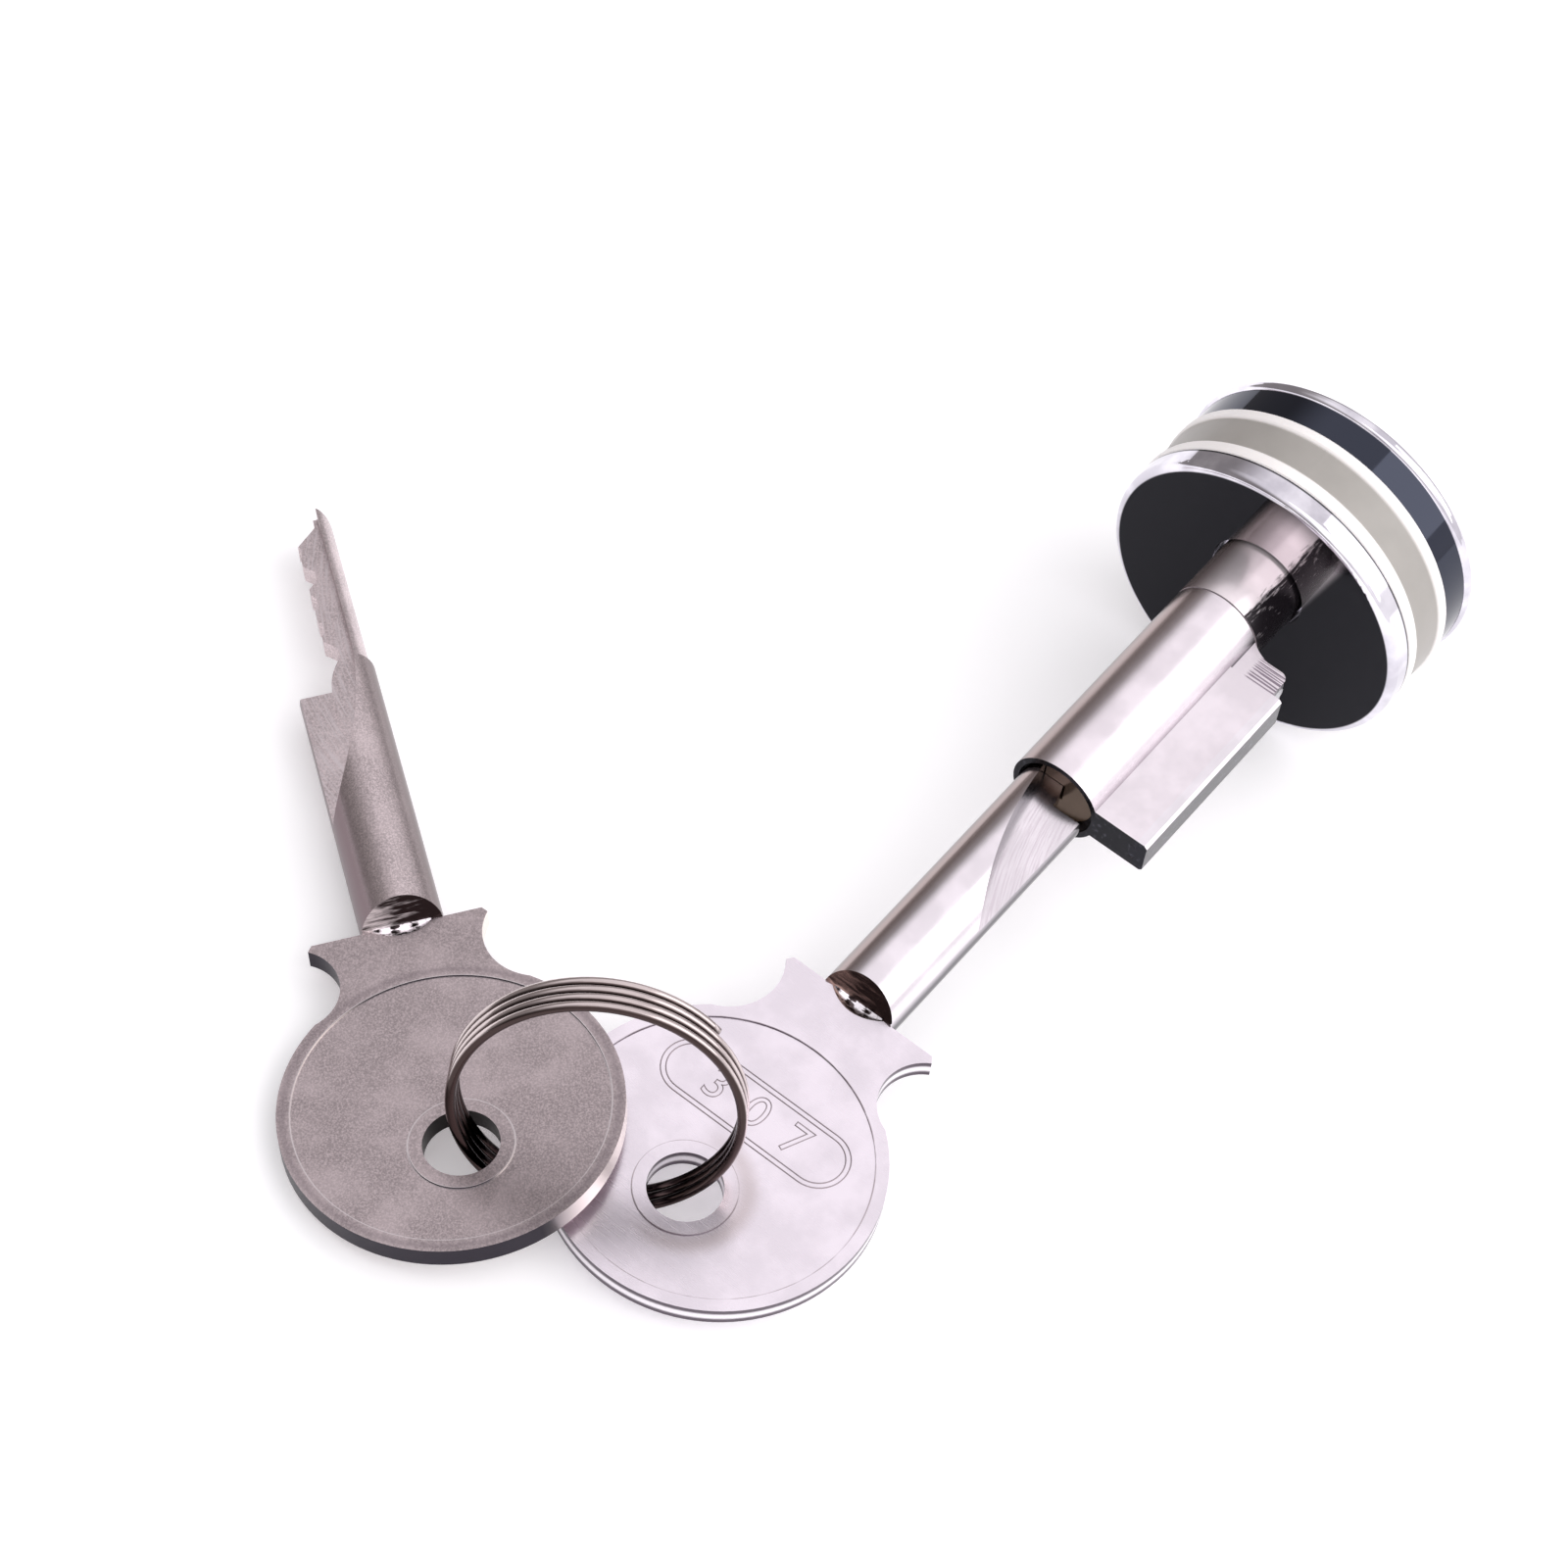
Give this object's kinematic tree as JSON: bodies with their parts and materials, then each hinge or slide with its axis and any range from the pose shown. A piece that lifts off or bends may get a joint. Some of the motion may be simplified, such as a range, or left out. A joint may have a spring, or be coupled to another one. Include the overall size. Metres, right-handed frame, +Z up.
{
  "type": "display case lock",
  "caption": "Small profile cylinder with a wing, an off-centre drum with a soft bumper ring on its plug, and two round-bowed keys on a split ring.",
  "frame": {"origin": "middle of the base of the bounding box, on the table that everything lies on", "axes": "+X along the lock from the keys to the drum, +Y to the side that the spare key lies on, +Z up"},
  "size_m": [0.1052, 0.0758, 0.0286],
  "materials": {
    "satin_nickel": "satin nickel plate",
    "bright_nickel": "bright nickel plate",
    "worn_nickel": "worn nickel plate",
    "polished_chrome": "mirror chrome",
    "bumper": "milky soft plastic",
    "ring_wire": "nickel plated wire",
    "brass": "turned",
    "steel": "plain"
  },
  "bodies": {
    "lock_body": {"barrel_housing": "satin_nickel", "pin_cover_strip": "satin_nickel", "retaining_pin": "steel", "driver_pin_1": "brass", "driver_pin_2": "brass", "driver_pin_3": "brass", "driver_pin_4": "brass", "driver_pin_5": "brass", "driver_spring_1": "steel", "driver_spring_2": "steel", "driver_spring_3": "steel", "driver_spring_4": "steel", "driver_spring_5": "steel"},
    "plug": {"lock_plug": "satin_nickel", "key_pin_1": "brass", "key_pin_2": "brass", "key_pin_3": "brass", "key_pin_4": "brass", "key_pin_5": "brass", "drum_front_flange": "polished_chrome", "drum_bumper_ring": "bumper", "drum_rear_cup": "polished_chrome", "drum_dowels": "steel", "drum_washer": "steel", "drum_screw": "steel"},
    "key": {"key_shaft": "bright_nickel", "key_bow": "bright_nickel"},
    "split_ring": {"split_ring": "ring_wire"},
    "spare_key": {"spare_key_shaft": "worn_nickel", "spare_key_bow": "worn_nickel"}
  },
  "joints": [
    {"name": "plug_turn", "type": "hinge", "parent": "lock_body", "child": "plug", "pos_m": [0.01156, -0.02433, 0.01141], "axis": [0.9861, 0, 0.1664], "range_deg": [0, 180]},
    {"name": "key_withdraw", "type": "slide", "parent": "plug", "child": "key", "axis": [-0.9861, 0, -0.1664], "range_m": [0, 0.02]},
    {"name": "ring_swing", "type": "hinge", "parent": "key", "child": "split_ring", "pos_m": [-0.03286, -0.02408, 0.00392], "axis": [-0.5439, 0.8389, 0.0203], "range_deg": [-20, 0]},
    {"name": "spare_swing", "type": "hinge", "parent": "key", "child": "spare_key", "pos_m": [-0.04208, -0.01048, 0.00407], "axis": [-0.1635, 0.156, 0.9741], "range_deg": [-40, 10]}
  ]
}
